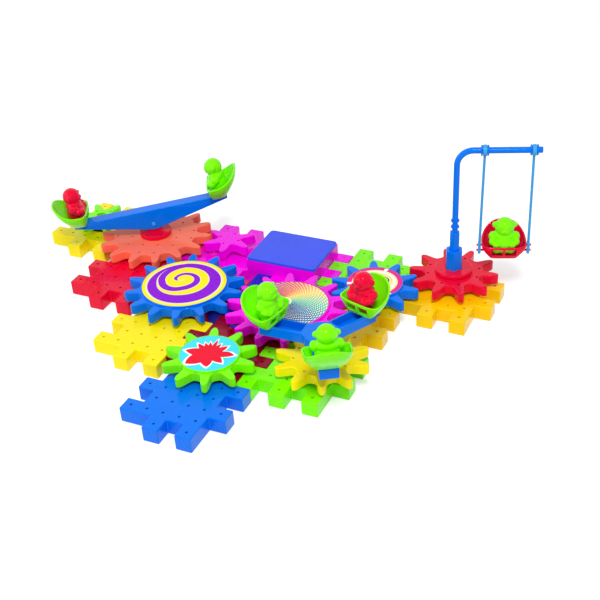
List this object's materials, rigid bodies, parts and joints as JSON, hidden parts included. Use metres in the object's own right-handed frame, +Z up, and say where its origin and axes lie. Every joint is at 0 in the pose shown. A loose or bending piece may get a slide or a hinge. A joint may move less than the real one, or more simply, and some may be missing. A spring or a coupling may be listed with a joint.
{
  "type": "gear building toy",
  "caption": "Motorised gear building toy: interlocking base plates, meshing toothed gears, a seesaw, a carousel and a swing with seated figures.",
  "frame": {"origin": "middle of the footprint, on the surface that the plates stand on", "axes": "+X to the right along the back row of plates, +Y towards that back row, +Z up"},
  "size_m": [0.4558, 0.3038, 0.1417],
  "materials": {
    "blue": "gloss",
    "navy": "gloss",
    "yellow": "gloss",
    "amber": "gloss",
    "lime": "gloss",
    "red": "gloss",
    "maroon": "gloss",
    "magenta": "gloss",
    "orange": "gloss",
    "sky": "gloss",
    "white": "gloss",
    "lid": "gloss",
    "dark": "gloss",
    "motor_metal": "metal",
    "worm_brass": "metal",
    "battery": "metal"
  },
  "bodies": {
    "base": {"plate_blue_front": "blue", "plate_yellow_left": "yellow", "plate_maroon_centre": "maroon", "plate_green_front": "lime", "plate_red_left": "red", "plate_red_centre": "red", "plate_navy_centre": "navy", "plate_amber_right": "amber", "plate_yellow_back": "yellow", "plate_red_back": "red", "plate_green_back": "lime", "plate_amber_back": "amber", "motor_housing": "magenta", "motor_lid": "lid", "motor_bottom_cover": "magenta", "motor": "motor_metal", "battery_1": "battery", "battery_2": "battery", "axle_rosette": "dark", "axle_spiral": "dark", "axle_orange": "dark", "axle_small_green": "dark", "axle_carousel": "dark", "axle_rings": "dark", "axle_swing": "dark", "axle_burst": "dark"},
    "gear_rosette": {"gear_rosette": "magenta"},
    "gear_spiral": {"gear_spiral": "blue"},
    "gear_orange": {"gear_orange": "orange", "seesaw_hub": "red"},
    "gear_small_green": {"gear_small_green": "lime"},
    "gear_small_magenta": {"gear_small_magenta": "magenta", "output_gear_shaft": "white"},
    "gear_carousel": {"gear_carousel": "yellow", "carousel_spinner": "blue", "seat_carousel_right": "lime", "figure_carousel_right": "red", "seat_carousel_left": "lime", "figure_carousel_left": "lime", "seat_carousel_front": "lime", "figure_carousel_front": "lime"},
    "gear_rings": {"gear_rings": "blue"},
    "gear_swing": {"gear_swing": "red", "swing_ring_hub": "red", "swing_socket": "blue", "swing_post_arm": "blue"},
    "gear_burst": {"gear_burst": "lime"},
    "seesaw": {"seesaw_beam": "blue", "seesaw_pivot_pin": "sky", "seat_seesaw_low": "lime", "figure_seesaw_low": "red", "seat_seesaw_high": "lime", "figure_seesaw_high": "lime"},
    "swing": {"swing_hanger_inner": "sky", "swing_hanger_outer": "sky", "seat_swing": "red", "figure_swing": "lime"},
    "wheel": {"worm_wheel_pinion": "white"},
    "worm": {"worm": "worm_brass"},
    "switch": {"power_switch": "white"}
  },
  "joints": [
    {"name": "rosette_spin", "type": "hinge", "parent": "base", "child": "gear_rosette", "pos_m": [0.0519, 0.016, 0.02], "axis": [0, 0, 1], "continuous": true},
    {"name": "spiral_spin", "type": "hinge", "parent": "base", "child": "gear_spiral", "pos_m": [-0.0461, 0.016, 0.02], "axis": [0, 0, 1], "continuous": true},
    {"name": "orange_spin", "type": "hinge", "parent": "base", "child": "gear_orange", "pos_m": [-0.1161, 0.086, 0.02], "axis": [0, 0, 1], "continuous": true},
    {"name": "small_green_spin", "type": "hinge", "parent": "base", "child": "gear_small_green", "pos_m": [-0.1861, 0.1, 0.02], "axis": [0, 0, 1], "continuous": true},
    {"name": "small_magenta_spin", "type": "hinge", "parent": "base", "child": "gear_small_magenta", "pos_m": [-0.0461, 0.1, 0.02], "axis": [0, 0, 1], "continuous": true},
    {"name": "carousel_spin", "type": "hinge", "parent": "base", "child": "gear_carousel", "pos_m": [0.1079, -0.04, 0.02], "axis": [0, 0, 1], "continuous": true},
    {"name": "rings_spin", "type": "hinge", "parent": "base", "child": "gear_rings", "pos_m": [0.1079, 0.072, 0.02], "axis": [0, 0, 1], "continuous": true},
    {"name": "swing_spin", "type": "hinge", "parent": "base", "child": "gear_swing", "pos_m": [0.1639, 0.114, 0.02], "axis": [0, 0, 1], "continuous": true},
    {"name": "burst_spin", "type": "hinge", "parent": "base", "child": "gear_burst", "pos_m": [0.0239, -0.068, 0.02], "axis": [0, 0, 1], "continuous": true},
    {"name": "wheel_spin", "type": "hinge", "parent": "base", "child": "wheel", "pos_m": [-0.0233, 0.1002, 0.005], "axis": [0, 0, 1], "continuous": true},
    {"name": "worm_spin", "type": "hinge", "parent": "base", "child": "worm", "pos_m": [-0.01066, 0.1129, 0.0093], "axis": [1, 0, 0], "continuous": true},
    {"name": "seesaw_tilt", "type": "hinge", "parent": "gear_orange", "child": "seesaw", "pos_m": [-0.1161, 0.086, 0.0384], "axis": [-0.4695, 0.8829, 0], "range_deg": [0, 16.2]},
    {"name": "swing_sway", "type": "hinge", "parent": "gear_swing", "child": "swing", "pos_m": [0.1639, 0.114, 0.137], "axis": [0.9444, 0.3289, 0], "range_deg": [-60, 60]},
    {"name": "switch_slide", "type": "slide", "parent": "base", "child": "switch", "axis": [1, 0, 0], "range_m": [0, 0.004]}
  ],
  "couplings": [
    {"joint": "spiral_spin", "follows": "orange_spin", "ratio": -1},
    {"joint": "rosette_spin", "follows": "orange_spin", "ratio": 1},
    {"joint": "rings_spin", "follows": "orange_spin", "ratio": -1.4},
    {"joint": "swing_spin", "follows": "orange_spin", "ratio": 1.4},
    {"joint": "carousel_spin", "follows": "orange_spin", "ratio": -1.4},
    {"joint": "burst_spin", "follows": "orange_spin", "ratio": -1.4},
    {"joint": "small_green_spin", "follows": "orange_spin", "ratio": -2.3333},
    {"joint": "small_magenta_spin", "follows": "orange_spin", "ratio": -2.3333},
    {"joint": "wheel_spin", "follows": "orange_spin", "ratio": 8.1667},
    {"joint": "worm_spin", "follows": "orange_spin", "ratio": 81.667}
  ]
}
